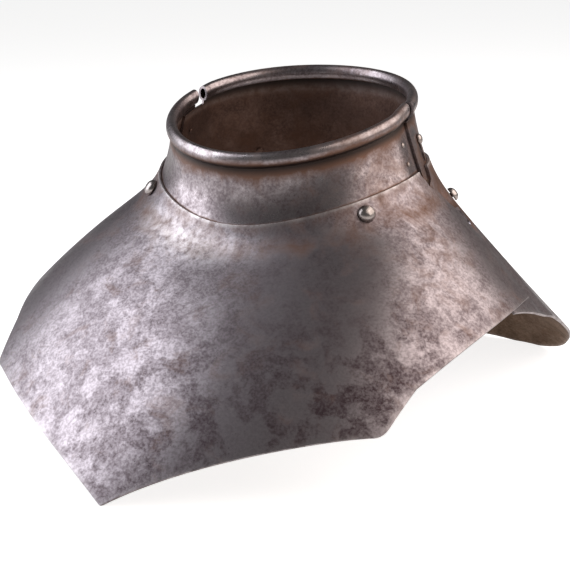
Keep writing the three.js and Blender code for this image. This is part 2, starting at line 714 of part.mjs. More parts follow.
/** Spring leaf: inside the front collar, then out against the back collar behind the keyhole. */
function springInset(angle) {
  const clear = CATCH_END + END_CLEARANCE;
  return COLLAR_STEP + frontInset(angle) * (1 - ease(angle, clear, clear + SPRING_STEP));
}

function catchSpring() {
  const clear = CATCH_END + END_CLEARANCE;
  const changes = [...joggleAngles(FRONT_INSIDE), clear, clear + SPRING_STEP];
  const angles = sectionAngles(SPRING_START, CATCH_END + SPRING_RUN_ON, FINENESS.springSteps, changes);
  const shares = [SPRING_FOOT, ...WALL_ROWS.slice(1), SPRING_TOP];
  const outlines = angles.map((angle) => {
    const inset = springInset(angle);
    const outer = shares.map((share) => wallSection(angle, share, inset, 0));
    const inner = shares.map((share) => wallSection(angle, share, inset, SPRING_SHEET));
    return [...outer, ...inner.reverse()];
  });
  const sections = outlines.map((outline, row) => outline.map(({ x, y }) => around(angles[row], x, y)));
  const leaf = sweep(sections, [outlines[0], outlines[outlines.length - 1]]);
  return cutAway(leaf, [drillAt(studPlace, STUD_NECK_RADIUS + GAP), ...pinHoles()]);
}

// The scene

const STEEL = { color: 0x8f8684, roughness: 0.38, metalness: 1 };
const gorget = new THREE.Group();

function addPiece(name, geometry) {
  geometry.computeVertexNormals();
  const mesh = new THREE.Mesh(geometry, new THREE.MeshStandardMaterial(STEEL));
  mesh.name = name;
  gorget.add(mesh);
  return mesh;
}

addPiece('front_plate', frontPlate());
addPiece('back_plate', backPlate());
addPiece('front_collar', frontCollar());
addPiece('back_collar', backCollar());
addPiece('catch_spring', catchSpring());

const flangeGrip = RIVET_LIFT + PLATE_STEP + COLLAR_STEP;
for (const [name, place] of Object.entries(rivetPlaces)) {
  const rivet = rivetGeometry(RIVET_HEAD_RADIUS, RIVET_HEAD_HEIGHT, RIVET_SHANK_RADIUS, flangeGrip,
    RIVET_TAIL_RADIUS);
  standOn(addPiece(name, rivet), place, RIVET_LIFT);
}

const leafGrip = GAP + COLLAR_STEP + SPRING_SHEET + GAP;
for (const [name, place] of Object.entries(pinPlaces)) {
  const pin = rivetGeometry(PIN_HEAD_RADIUS, PIN_HEAD_HEIGHT, PIN_SHANK_RADIUS, leafGrip, PIN_HEAD_RADIUS);
  standOn(addPiece(name, pin), place);
}

const stud = rivetGeometry(STUD_HEAD_RADIUS, STUD_HEAD_HEIGHT, STUD_NECK_RADIUS, leafGrip, RIVET_TAIL_RADIUS);
standOn(addPiece('catch_stud', stud), studPlace);

const tabRivet = rivetGeometry(TAB_RIVET_HEAD_RADIUS, TAB_RIVET_HEAD_HEIGHT, PIN_SHANK_RADIUS,
  GAP + 2 * COLLAR_STEP, PIN_HEAD_RADIUS);
standOn(addPiece('tab_rivet', tabRivet), tabRivetPlace);

const shoulderStud = rivetGeometry(SHOULDER_STUD_RADIUS, SHOULDER_STUD_HEIGHT, RIVET_SHANK_RADIUS,
  RIVET_LIFT + PLATE_STEP, RIVET_TAIL_RADIUS);
standOn(addPiece('shoulder_stud', shoulderStud), shoulderStudPlace, RIVET_LIFT);

// The origin is the middle of the footprint, on the surface that the gorget stands on
const box = new THREE.Box3().setFromObject(gorget, true);
gorget.position.set(0, -(box.min.y + box.max.y) / 2, -box.min.z);

export default gorget;
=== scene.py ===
import math

import bpy
import numpy as np
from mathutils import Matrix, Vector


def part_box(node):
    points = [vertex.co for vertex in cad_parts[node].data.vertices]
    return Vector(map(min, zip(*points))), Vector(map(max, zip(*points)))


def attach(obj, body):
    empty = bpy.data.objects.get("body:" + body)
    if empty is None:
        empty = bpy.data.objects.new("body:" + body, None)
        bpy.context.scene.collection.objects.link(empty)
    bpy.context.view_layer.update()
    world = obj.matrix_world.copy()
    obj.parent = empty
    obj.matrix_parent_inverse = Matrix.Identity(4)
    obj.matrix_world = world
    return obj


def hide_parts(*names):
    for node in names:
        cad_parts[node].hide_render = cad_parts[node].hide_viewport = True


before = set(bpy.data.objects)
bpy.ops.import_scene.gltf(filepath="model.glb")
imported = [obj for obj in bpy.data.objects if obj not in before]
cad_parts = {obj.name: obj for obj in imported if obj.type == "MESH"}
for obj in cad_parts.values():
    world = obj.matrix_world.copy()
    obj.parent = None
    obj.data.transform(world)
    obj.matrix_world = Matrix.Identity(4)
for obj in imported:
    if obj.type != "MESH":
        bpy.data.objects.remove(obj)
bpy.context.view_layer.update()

# Front plate
# One sheet of steel raised with the hammer into a low flange, a flared foot and a spread that falls
# to a point on the chest. The hammer left shallow waves, and the edges were filed and are worn bright;
# the flange's top edge also carries a painted highlight, and a painted highlight lies below the flange
# on the wearer's right. Painted shadow darkens the flange's top and the foot of the flare.

# Millimetres and degrees; angles go round the neck from the front towards the wearer's left
PLATE_SHEET = 1.6
SEAM_HALF_WIDTH, SEAM_HALF_DEPTH = 84.1, 76.6
SEAM_HEIGHT, SEAM_TILT, SEAM_SADDLE = 147.8, 0.147, 6
SEAM_POINT_DEPTH, SEAM_POINT_ANGLE = 1.9, 29
NECK_FORWARD = 0.5
FLARE_DROP, FLARE_REACH = 12, 6.06
SECTION_REACH = 100
PLATE_SECTIONS = {
    "flare": [1, 1, 1, 0.9, 0.68, 0.9, 1],
    "slope": [0.465, 0.51, 0.41, 0.77, 1.29, 1.15, 1.32],
    "bend": [0.27, 0.35, 0.37, 0.21, -0.14, -0.09, 0.11],
}
FRONT_POINT = np.array([0, -208.3])
FRONT_CORNER = np.array([128.8, -132.7])
ARM_KINK = np.array([135, -105])
SHOULDER_TIP = np.array([146.8, 23.5])
FRONT_CORNER_CUT = 6
FRONT_LOWER_BOW = {"left": 3, "right": 5.5}
FRONT_ARM_BOW = 10.2


def ease(value, start, end):
    """Smooth step 3s^2 - 2s^3, where s is the share of the way from start to end."""
    share = np.clip((value - start) / (end - start), 0, 1)
    return share * share * (3 - 2 * share)


def half_turn(angle):
    """The angle brought into 0 at the front to 180 at the back."""
    turned = np.abs(angle) % 360
    return np.where(turned > 180, 360 - turned, turned)


def oval_radius(angle, half_width, half_depth):
    """Radius of an oval, 1 / |(sin a / width, cos a / depth)|, moved forward a little."""
    sine, cosine = np.sin(np.radians(angle)), np.cos(np.radians(angle))
    return 1 / np.hypot(sine / half_width, cosine / half_depth) + NECK_FORWARD * cosine


def seam_radius(angle):
    """Radius of the flange's top edge."""
    return oval_radius(angle, SEAM_HALF_WIDTH, SEAM_HALF_DEPTH)


def seam_height(angle):
    """Height of the flange's top edge: tilt * y - saddle * cos 2a, less a shallow V at the front."""
    to_back = -seam_radius(angle) * np.cos(np.radians(angle))
    point = SEAM_POINT_DEPTH * np.exp(-((half_turn(angle) / SEAM_POINT_ANGLE) ** 2))
    return SEAM_HEIGHT + SEAM_TILT * to_back - SEAM_SADDLE * np.cos(np.radians(2 * angle)) - point


def section_value(name, angle):
    """Cubic B-spline through the plate's seven sections, even at the front and at the back."""
    values = np.array(PLATE_SECTIONS[name], float)
    padded = np.concatenate([values[1:2], values, values[-2:-1]])
    place = half_turn(angle) / (180 / (len(values) - 1))
    index = np.minimum(place.astype(int), len(values) - 2)
    t = place - index
    weights = [(1 - t) ** 3, 3 * t**3 - 6 * t**2 + 4, -3 * t**3 + 3 * t**2 + 3 * t + 1, t**3]
    return sum(weight * padded[index + step] for step, weight in enumerate(weights)) / 6


def shell(angle, distance, depth):
    """Radius and height of the plates' form: fall = flare (1 - e^(-d/r)) + slope d + bend d^2 / reach,
    then a depth below that face, square to it."""
    flare = section_value("flare", angle) * FLARE_DROP
    fade = np.exp(-distance / FLARE_REACH)
    slope_out, bend = section_value("slope", angle), section_value("bend", angle)
    fall = flare * (1 - fade) + slope_out * distance + bend * distance**2 / SECTION_REACH
    slope = flare / FLARE_REACH * fade + slope_out + 2 * bend * distance / SECTION_REACH
    length = np.hypot(slope, 1)
    radius = seam_radius(angle) + distance - depth * slope / length
    return radius, seam_height(angle) - fall - depth / length


def around(angle, radius, height):
    """Points at an angle round the neck, a radius and a height, in millimetres from the neck axis."""
    turn = np.radians(angle)
    return np.stack(np.broadcast_arrays(radius * np.sin(turn), -radius * np.cos(turn), height), axis=-1)


# The neck axis in the frame: the front point and the flange's highest point are where the solid has them
SIDE_DISTANCES = [0, 4, 10, 20, 36]
SIDE_ANGLES = [91, 94, 100, 104, 104]
front_low, front_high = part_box("front_plate")
neck_axis = np.array([0, front_low.y - FRONT_POINT[1] / 1000,
                      front_high.z - float(seam_height(np.array(SIDE_ANGLES[0]))) / 1000])


def to_frame(points):
    """Millimetres from the neck axis become metres in the frame; nothing goes below the floor."""
    moved = points / 1000 + neck_axis
    moved[..., 2] = np.maximum(moved[..., 2], 0)
    return moved


def plan_angle(point):
    """Angle of a plan point, or of an array of them."""
    return np.degrees(np.arctan2(point[..., 0], -point[..., 1]))


def side_edge_angle(distance):
    """Angle of the front plate's side edge: smooth steps between the angles of the table."""
    tip_angle = float(plan_angle(SHOULDER_TIP))
    tip_distance = float(np.hypot(*SHOULDER_TIP) - seam_radius(np.array(tip_angle)))
    stops = list(zip(SIDE_DISTANCES + [tip_distance], SIDE_ANGLES + [tip_angle]))
    angle = np.full(np.shape(distance), float(stops[0][1]))
    for (start, from_angle), (end, to_angle) in zip(stops, stops[1:]):
        angle += (to_angle - from_angle) * ease(distance, start, end)
    return angle


def bowed_edge(start, end, bow, count):
    """Points start + s (end - start), moved outward by 4 bow s (1 - s)."""
    s = np.linspace(0, 1, count)[:, None]
    run = end - start
    outward = np.array([run[1], -run[0]]) / np.hypot(*run)
    return start + s * run + outward * 4 * bow * s * (1 - s)


def rounded_corner(before, corner, after, count):
    """Points (1-s)^2 before + 2 s (1-s) corner + s^2 after, both ends left out."""
    s = np.linspace(0, 1, count + 2)[1:-1, None]
    return (1 - s) ** 2 * before + 2 * s * (1 - s) * corner + s**2 * after


def beside_corner(corner, other, distance):
    """Point on the way from a corner to another point, at a distance from the corner."""
    run = other - corner
    return corner + run * distance / np.hypot(*run)


def front_half(lower_bow):
    """Half outline of the front plate in plan, from the front point to the shoulder tip."""
    before = beside_corner(FRONT_CORNER, FRONT_POINT, FRONT_CORNER_CUT)
    after = beside_corner(FRONT_CORNER, ARM_KINK, FRONT_CORNER_CUT)
    return np.concatenate([
        bowed_edge(FRONT_POINT, before, lower_bow, 100),
        rounded_corner(before, FRONT_CORNER, after, 8),
        bowed_edge(after, ARM_KINK, 0, 16),
        bowed_edge(ARM_KINK, SHOULDER_TIP, FRONT_ARM_BOW, 76)[1:],
    ])


def plate_grid(outline, middle, edge_angle, rows):
    """Angle and distance of each grid point: column c runs from the flange top to outline point c, at the
    angle middle + turn (1 + (|turn| / widest)^3 (edge turn / widest - 1))."""
    end_angle = plan_angle(outline)
    turn = np.mod(end_angle, 360) - 180 if middle == 180 else end_angle
    reach = np.hypot(outline[:, 0], outline[:, 1]) - seam_radius(end_angle)
    distance = reach[:, None] * np.linspace(0, 1, rows) ** 1.25
    widest = abs(turn[0])
    edge_turn = np.abs(edge_angle(distance) - middle) / widest
    follow = (np.abs(turn) / widest)[:, None] ** 3
    return middle + turn[:, None] * (1 + follow * (edge_turn - 1)), distance


WAVE_LENGTHS = np.linspace(22, 70, 16)
WAVE_HEIGHT_SHARE = 1 / 2400


def hammer_waves(angle, distance):
    """Height in mm of the hammer's waves: a sum of sines over the plan, each as high as a share of its
    wavelength, none at the flange."""
    rng = np.random.default_rng(11)
    x = (seam_radius(angle) + distance) * np.sin(np.radians(angle))
    y = (seam_radius(angle) + distance) * np.cos(np.radians(angle))
    height = np.zeros(np.shape(x))
    for wavelength in WAVE_LENGTHS:
        heading, phase = rng.uniform(0, 2 * math.pi, 2)
        along = x * math.cos(heading) + y * math.sin(heading)
        height += wavelength * WAVE_HEIGHT_SHARE * np.sin(2 * math.pi * along / wavelength + phase)
    return height * ease(distance, 10, 40)


def set_share(mesh, name, values):
    """Stores a number for each point of a mesh, for its material to read."""
    mesh.attributes.new(name, "FLOAT", "POINT").data.foreach_set("value", np.ravel(values))


def make_sheet(name, outer, inner, grime_and_shade, wear_and_highlight, materials):
    """Closed sheet between two grids (columns, rows, 3) in mm: both faces, and a strip along the border.
    Its inner face has the second of the two materials. Grime with painted shade, and wear with painted
    highlight, are shares at each grid point; the second can also be given as a pair, for the outer and
    the inner face."""
    columns, rows = outer.shape[:2]
    index = np.arange(columns * rows).reshape(columns, rows)
    a, b, c, d = index[:-1, :-1], index[:-1, 1:], index[1:, 1:], index[1:, :-1]
    face = np.stack([a, b, c, d], axis=-1).reshape(-1, 4)
    under = index.size + np.stack([a, d, c, b], axis=-1).reshape(-1, 4)
    border = np.concatenate([index[0, :-1], index[:-1, -1], index[-1, :0:-1], index[:0:-1, 0]])
    ahead = np.roll(border, -1)
    strip = np.stack([ahead, border, border + index.size, ahead + index.size], axis=-1)
    quads = np.concatenate([face, under, strip])
    points = to_frame(np.concatenate([outer.reshape(-1, 3), inner.reshape(-1, 3)]))
    mesh = bpy.data.meshes.new(name)
    mesh.vertices.add(len(points))
    mesh.vertices.foreach_set("co", points.ravel())
    mesh.loops.add(quads.size)
    mesh.loops.foreach_set("vertex_index", quads.ravel())
    mesh.polygons.add(len(quads))
    mesh.polygons.foreach_set("loop_start", np.arange(0, quads.size, 4))
    mesh.polygons.foreach_set("material_index", np.repeat([0, 1, 0], [len(face), len(under), len(strip)]))
    mesh.polygons.foreach_set("use_smooth", np.ones(len(quads), bool))
    set_share(mesh, "grime_and_shade", np.broadcast_to(grime_and_shade, (2,) + grime_and_shade.shape))
    set_share(mesh, "wear_and_highlight", np.broadcast_to(wear_and_highlight, (2,) + grime_and_shade.shape))
    mesh.update(calc_edges=True)
    for material in materials:
        mesh.materials.append(material)
    piece = bpy.data.objects.new(name, mesh)
    bpy.context.scene.collection.objects.link(piece)
    return piece


def soften_edges(piece, width):
    """Rounds the sheet's sharp edges by a width in mm."""
    bevel = piece.modifiers.new("filed_edges", "BEVEL")
    bevel.width = width / 1000
    bevel.segments = 2
    bevel.limit_method = "ANGLE"
    bevel.angle_limit = math.radians(50)
    bevel.harden_normals = True


def linear(hex_colour):
    """sRGB hex to linear: v / 12.92 below 0.04045, else ((v + 0.055) / 1.055)^2.4."""
    values = [int(hex_colour[i:i + 2], 16) / 255 for i in (1, 3, 5)]
    return [v / 12.92 if v <= 0.04045 else ((v + 0.055) / 1.055) ** 2.4 for v in values] + [1]


def add(tree, kind, inputs=None, **settings):
    """Adds a node with its settings; an input is linked where its value is a socket, and set otherwise."""
    node = tree.nodes.new(kind)
    for name, value in settings.items():
        setattr(node, name, value)
    for name, value in (inputs or {}).items():
        if isinstance(value, bpy.types.NodeSocket):
            tree.links.new(value, node.inputs[name])
        else:
            node.inputs[name].default_value = value
    return node


def steel(name, bright, dull, brown, roughness, patina, pits):
    """Aged steel: polished once, now dulled in patches by a thin oxide, with fine pits and brown stains.
    To the eye it is a soft mirror whose patches are rougher and darker, with pinhead specks all over.
    Dullness = patina (oxide patch + 0.24 mottle + 0.28 speckle) mixes the bright colour with the dull."""
    material = bpy.data.materials.new(name)
    material.use_nodes = True
    tree = material.node_tree
    tree.nodes.clear()
    place = add(tree, "ShaderNodeTexCoord").outputs["Object"]
    # Oxide patches about 18 mm across with broken edges
    patches = add(tree, "ShaderNodeTexNoise", {
        "Vector": place, "Scale": 1000 / 18, "Detail": 6, "Roughness": 0.62, "Distortion": 0.3})
    patch = add(tree, "ShaderNodeMapRange", {
        "Value": patches.outputs["Fac"], "From Min": 0.45, "From Max": 0.54, "To Min": 0, "To Max": 1})
    oxide = add(tree, "ShaderNodeAttribute", attribute_name="oxide").outputs["Fac"]
    oxide = add(tree, "ShaderNodeMath", {0: oxide, 1: 0.3, 2: 0.26}, operation="MULTIPLY_ADD")
    # Mottling about 5 mm across
    mottles = add(tree, "ShaderNodeTexNoise", {
        "Vector": place, "Scale": 1000 / 5, "Detail": 7, "Roughness": 0.72})
    mottle = add(tree, "ShaderNodeMapRange", {
        "Value": mottles.outputs["Fac"], "From Min": 0.40, "From Max": 0.62, "To Min": 0, "To Max": 1})
    # Speckle about 1.6 mm across
    speckles = add(tree, "ShaderNodeTexNoise", {
        "Vector": place, "Scale": 1000 / 1.6, "Detail": 3, "Roughness": 0.6})
    speckle = add(tree, "ShaderNodeMapRange", {
        "Value": speckles.outputs["Fac"], "From Min": 0.42, "From Max": 0.58, "To Min": 0, "To Max": 1})
    # Brown stains about 22 mm across, strongest where the grime-and-shade share is high,
    # so painted shade there shows partly as brown
    stains = add(tree, "ShaderNodeTexNoise", {
        "Vector": place, "Scale": 1000 / 22, "Detail": 9, "Roughness": 0.7, "Distortion": 0.8})
    grime_and_shade = add(tree, "ShaderNodeAttribute", attribute_name="grime_and_shade").outputs["Fac"]
    stained = add(tree, "ShaderNodeMath", {0: stains.outputs["Fac"], 1: grime_and_shade}, operation="ADD")
    stain = add(tree, "ShaderNodeMapRange", {
        "Value": stained.outputs[0], "From Min": 0.54, "From Max": 0.86, "To Min": 0, "To Max": 1})
    # Painted shade: near black where the grime-and-shade share passes 0.3, under the collars' rolls, at
    # their feet in the flanges and round the keyhole; the same mix darkens the curl's end and round the
    # slot
    painted_shade_and_dirt = add(tree, "ShaderNodeMapRange", {
        "Value": grime_and_shade, "From Min": 0.3, "From Max": 0.6, "To Min": 0, "To Max": 0.9})
    # Pits about 1.4 mm apart, in clusters about 9 mm across
    pit_cells = add(tree, "ShaderNodeTexVoronoi", {"Vector": place, "Scale": 1000 / 1.4, "Randomness": 1})
    clusters = add(tree, "ShaderNodeTexNoise", {"Vector": place, "Scale": 1000 / 9, "Detail": 4})
    pit_size = add(tree, "ShaderNodeMapRange", {
        "Value": clusters.outputs["Fac"], "From Min": 0.42, "From Max": 0.7,
        "To Min": 0.02, "To Max": 0.36 * pits})
    pit = add(tree, "ShaderNodeMapRange", {
        "Value": pit_cells.outputs["Distance"], "From Min": pit_size.outputs[0], "From Max": 0,
        "To Min": 0, "To Max": 1})
    # Bare metal on the edges, where hands and straps rubbed, and painted highlights, both pale where the
    # wear-and-highlight share is high
    wear_and_highlight = add(tree, "ShaderNodeAttribute", attribute_name="wear_and_highlight").outputs["Fac"]
    rubbed_and_highlit = add(tree, "ShaderNodeMath", {0: mottle.outputs[0], 1: -0.7, 2: 1.0}, operation="MULTIPLY_ADD")
    rubbed_and_highlit = add(tree, "ShaderNodeMath", {
        0: wear_and_highlight, 1: rubbed_and_highlit.outputs[0]}, operation="MULTIPLY", use_clamp=True)
    # Colour
    dullness = add(tree, "ShaderNodeMath", {0: speckle.outputs[0], 1: 0.28}, operation="MULTIPLY")
    dullness = add(tree, "ShaderNodeMath", {
        0: mottle.outputs[0], 1: 0.24, 2: dullness.outputs[0]}, operation="MULTIPLY_ADD")
    dullness = add(tree, "ShaderNodeMath", {
        0: patch.outputs[0], 1: oxide.outputs[0], 2: dullness.outputs[0]}, operation="MULTIPLY_ADD")
    dullness = add(tree, "ShaderNodeMath", {0: dullness.outputs[0], 1: patina}, operation="MULTIPLY")
    base = add(tree, "ShaderNodeMix", {
        0: dullness.outputs[0], 6: linear(bright), 7: linear(dull)}, data_type="RGBA")
    browned = add(tree, "ShaderNodeMix", {
        0: stain.outputs[0], 6: base.outputs[2], 7: linear(brown)}, data_type="RGBA")
    pitted = add(tree, "ShaderNodeMix", {
        0: pit.outputs[0], 6: browned.outputs[2], 7: linear("#2a211d")}, data_type="RGBA")
    # Painted shade mixed in as near black
    shaded_and_dirty = add(tree, "ShaderNodeMix", {
        0: painted_shade_and_dirt.outputs[0], 6: pitted.outputs[2], 7: linear("#1f1613")}, data_type="RGBA")
    # Painted highlight and bare metal in one pale colour
    coloured = add(tree, "ShaderNodeMix", {
        0: rubbed_and_highlit.outputs[0], 6: shaded_and_dirty.outputs[2], 7: linear("#d2cbca")}, data_type="RGBA")
    # Roughness follows the oxide
    rough = add(tree, "ShaderNodeMapRange", {
        "Value": dullness.outputs[0], "From Min": 0, "From Max": 1,
        "To Min": roughness, "To Max": roughness + 0.2})
    rough = add(tree, "ShaderNodeMath", {
        0: stain.outputs[0], 1: 0.14, 2: rough.outputs[0]}, operation="MULTIPLY_ADD")
    rough = add(tree, "ShaderNodeMath", {
        0: rubbed_and_highlit.outputs[0], 1: -0.12, 2: rough.outputs[0]}, operation="MULTIPLY_ADD")
    metal = add(tree, "ShaderNodeMapRange", {
        "Value": stain.outputs[0], "From Min": 0, "From Max": 1, "To Min": 1, "To Max": 0.55})
    # Relief: pits about 0.05 mm deep over a fine grain
    grain = add(tree, "ShaderNodeTexNoise", {
        "Vector": place, "Scale": 1000 / 1.5, "Detail": 3, "Roughness": 0.6})
    relief = add(tree, "ShaderNodeMath", {
        0: pit.outputs[0], 1: -1.0, 2: grain.outputs["Fac"]}, operation="MULTIPLY_ADD")
    bump = add(tree, "ShaderNodeBump", {"Height": relief.outputs[0], "Strength": 0.35, "Distance": 0.0001})
    surface = add(tree, "ShaderNodeBsdfPrincipled", {
        "Base Color": coloured.outputs[2], "Roughness": rough.outputs[0], "Metallic": metal.outputs[0],
        "Normal": bump.outputs["Normal"]})
    add(tree, "ShaderNodeOutputMaterial", {"Surface": surface.outputs[0]})
    return material


# The plates' outer face, hammered and once polished; the inner face was left from the fire and browned
plate_steel = steel(
    "hammered_steel_worn_polish", "#aca3a6", "#504246", "#6e5042", roughness=0.31, patina=1, pits=1)
plate_inside = steel(
    "hammered_steel_browned_inside", "#8d7461", "#5c4837", "#6a4a32", roughness=0.55, patina=1, pits=1)


def crevice(value, place, width):
    """Bell curve e^(-((v - place) / width)^2)."""
    return np.exp(-(((value - place) / width) ** 2))


left_half = front_half(FRONT_LOWER_BOW["left"])
right_half = front_half(FRONT_LOWER_BOW["right"])[1:][::-1] * [-1, 1]
angle, distance = plate_grid(np.concatenate([right_half, left_half]), 0, side_edge_angle, 96)
lift = hammer_waves(angle, distance)
# Painted shadow along the flange's top and where the foot flares, showing as brown; browner towards the
# wearer's left
grime_and_shade = 0.16 * crevice(distance, 0, 3) + 0.16 * crevice(distance, 9, 6) + 0.04 * ease(angle, 20, 80)
# Worn bright on the edges, with a painted highlight along the flange's top edge; then a painted highlight
# below the flange on the wearer's right
wear_and_highlight = 0.8 * crevice(distance, 0, 0.6) + 0.4 * crevice(distance, distance[:, -1:], 1.2)
wear_and_highlight += 0.6 * crevice(distance, 9, 8) * crevice(angle, -20, 26)
front_plate = make_sheet(
    "front_plate_sheet",
    around(angle, *shell(angle, distance, -lift)),
    around(angle, *shell(angle, distance, PLATE_SHEET - lift)),
    grime_and_shade, wear_and_highlight, (plate_steel, plate_inside))
oxide = crevice(angle, 35, 32) * ease(distance, 35, 90)
set_share(front_plate.data, "oxide", np.broadcast_to(oxide, (2,) + oxide.shape))
soften_edges(front_plate, 0.4)
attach(front_plate, "root")
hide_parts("front_plate")

# Back plate
# A second sheet of the same steel, raised the same way, its shoulders pushed under the front plate's.
# Behind its stud a slot is cut through it, and the corner towards the arm is rounded off.
GAP = 0.3
LAP_GAP = 0.45
PLATE_STEP = PLATE_SHEET + GAP
BACK_SHOULDER = np.array([152.5, -9.4])
BACK_ARM = np.array([161, 85])
BACK_CORNER = np.array([112, 180.5])
BACK_CENTRE = np.array([0, 181])
BACK_CORNER_CUT = 34
NOTCH_TOP_ANGLE, NOTCH_DEPTH, NOTCH_SLIT = 9.5, 6, 1.6
UNDERLAP_START, DIP_START, DIP_WIDTH = 15, 3, 6
SHOULDER_LAP_REACH = 3
SHOULDER_SLOT_ANGLE, SHOULDER_SLOT_DISTANCE = 109, 22.4
SHOULDER_SLOT_LENGTH, SHOULDER_SLOT_WIDTH = 14, 7


def back_edge_angle(distance):
    """Angle of the back plate's side edge: a V at the flange, a slit, then a run under the front plate."""
    hidden = float(plan_angle(BACK_SHOULDER))
    notch = NOTCH_TOP_ANGLE + (NOTCH_SLIT - NOTCH_TOP_ANGLE) * ease(distance, 0, NOTCH_DEPTH)
    beside = side_edge_angle(distance) + notch
    return beside + (hidden - beside) * ease(distance, NOTCH_DEPTH, UNDERLAP_START + NOTCH_DEPTH)


def back_depth(angle, distance):
    """How deep the back plate lies under the front plate's face at the shoulders."""
    beside = half_turn(angle) - side_edge_angle(distance)
    by_shoulder = 1 - ease(beside, DIP_START, DIP_START + DIP_WIDTH)
    return (PLATE_SHEET + LAP_GAP) * by_shoulder * ease(distance, SHOULDER_LAP_REACH, NOTCH_DEPTH)


def place_on(surface, angle, travel):
    """Origin and axes on a surface: X round the neck, Y up the surface, Z straight out of it."""
    step = 0.1
    sideways = surface(angle + step, travel) - surface(angle - step, travel)
    downward = surface(angle, travel + step) - surface(angle, travel - step)
    outward = np.cross(downward, sideways)
    sideways, outward = sideways / np.linalg.norm(sideways), outward / np.linalg.norm(outward)
    return surface(angle, travel), np.stack([sideways, np.cross(outward, sideways), outward])


def prism(place, outline, reach):
    """Closed prism, in mm: a plan outline carried from -reach to reach along the place's Z axis."""
    origin, axes = place
    count = len(outline)
    flat = np.concatenate([np.column_stack([outline, np.full(count, z)]) for z in (-reach, reach)])
    ring = np.arange(count)
    ahead = np.roll(ring, -1)
    sides = np.stack([ring, ahead, ahead + count, ring + count], axis=-1)
    faces = sides.tolist() + [ring[::-1].tolist(), (ring + count).tolist()]
    return origin + flat @ axes, faces


def cut_out(piece, cutters):
    """Cuts closed shapes, given as points in mm and faces, out of a piece and keeps the result."""
    points, faces, start = [], [], 0
    for cutter_points, cutter_faces in cutters:
        points.append(cutter_points)
        faces += [[start + corner for corner in face] for face in cutter_faces]
        start += len(cutter_points)
    mesh = bpy.data.meshes.new("cutter")
    mesh.from_pydata((np.concatenate(points) / 1000 + neck_axis).tolist(), [], faces)
    cutter = bpy.data.objects.new("cutter", mesh)
    bpy.context.scene.collection.objects.link(cutter)
    boolean = piece.modifiers.new("cut", "BOOLEAN")
    boolean.object = cutter
    boolean.operation = "DIFFERENCE"
    boolean.solver = "EXACT"
    result = bpy.data.meshes.new_from_object(piece.evaluated_get(bpy.context.evaluated_depsgraph_get()))
    piece.modifiers.clear()
    piece.data = result
    bpy.data.objects.remove(cutter)


def back_half():
    """Half outline of the back plate in plan, from the hidden shoulder round its corner to the centre."""
    before = beside_corner(BACK_CORNER, BACK_ARM, BACK_CORNER_CUT)
    after = beside_corner(BACK_CORNER, BACK_CENTRE, BACK_CORNER_CUT)
    return np.concatenate([
        BACK_SHOULDER[None], rounded_corner(BACK_SHOULDER, BACK_ARM, before, 110), before[None],
        rounded_corner(before, BACK_CORNER, after, 34), bowed_edge(after, BACK_CENTRE, 0, 46)])


def back_face(angle, distance):
    """Point on the back plate's outer face."""
    angle, distance = np.array(angle, float), np.array(distance, float)
    return around(angle, *shell(angle, distance, back_depth(angle, distance)))


half = back_half()
angle, distance = plate_grid(np.concatenate([half, half[:-1][::-1] * [-1, 1]]), 180, back_edge_angle, 90)
lift = hammer_waves(angle, distance)
depth = back_depth(angle, distance)
# Painted shadow along the flange's top and at the foot of the flare, showing as brown; brown stains along
# the overlap by the notch; dark round the shoulder slot
grime_and_shade = (0.22 * crevice(distance, 3, 6) + 0.1 * crevice(distance, 9, 6)
         + 0.13 * crevice(angle, 107, 9) * crevice(distance, 12, 14)
         + 0.5 * crevice(angle, SHOULDER_SLOT_ANGLE, 6) * crevice(distance, SHOULDER_SLOT_DISTANCE, 8))
wear_and_highlight = 0.8 * crevice(distance, 0, 0.6) + 0.4 * crevice(distance, distance[:, -1:], 1.2)
back_plate = make_sheet(
    "back_plate_sheet",
    around(angle, *shell(angle, distance, depth - lift)),
    around(angle, *shell(angle, distance, depth + PLATE_SHEET - lift)),
    grime_and_shade, wear_and_highlight, (plate_steel, plate_inside))
slot_half = SHOULDER_SLOT_LENGTH / 2 - SHOULDER_SLOT_WIDTH / 2
turn = np.linspace(0, math.pi, 17)
slot_end = SHOULDER_SLOT_WIDTH / 2 * np.stack([np.cos(turn), np.sin(turn)], axis=-1)
slot_outline = np.concatenate([slot_end + [0, slot_half], -slot_end - [0, slot_half]])
cut_out(back_plate, [prism(
    place_on(back_face, SHOULDER_SLOT_ANGLE, SHOULDER_SLOT_DISTANCE), slot_outline, PLATE_STEP)])
soften_edges(back_plate, 0.4)
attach(back_plate, "root")
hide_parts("back_plate")

# Front collar
# A strip of thinner steel bent round the front of the neck, its foot inside the flange. Its top edge is
# rolled outward over itself into a tube, with a painted highlight along its outer side and painted shade
# under it.
COLLAR_SHEET = 1.4
COLLAR_STEP = COLLAR_SHEET + GAP
RIM_HALF_WIDTH, RIM_HALF_DEPTH = 72.9, 72
RIM_SIDE_SHIFT = -1
RIM_HEIGHT, RIM_TILT, RIM_SADDLE = 183.6, 0.229, 1.7
ROLL_RADIUS = 3.5
ROLL_RISE = 1.1
LAP_REACH = 7.5
SHOULDER_LAP_ANGLE, SHOULDER_LAP_HALF, SHOULDER_LAP_BLEND = 98, 13, 8
WALL_HOLLOW = 0.42
CATCH_SPLIT, CATCH_OVERLAP = 95, 3.5
PIVOT_SPLIT = 93.3
JOGGLE, JOGGLE_LEAD = 12, 2
CATCH_END = CATCH_SPLIT + CATCH_OVERLAP
LAP_ROWS, WALL_ROWS, CURL_ROWS = 6, 29, 44


def rim_radius(angle):
    """Radius of the middle of the roll."""
    return oval_radius(angle, RIM_HALF_WIDTH, RIM_HALF_DEPTH) + RIM_SIDE_SHIFT * np.sin(np.radians(angle))


def rim_height(angle):
    """Height of the middle of the roll: tilt * y - saddle * cos 2a."""
    to_back = -rim_radius(angle) * np.cos(np.radians(angle))
    return RIM_HEIGHT + RIM_TILT * to_back - RIM_SADDLE * np.cos(np.radians(2 * angle))


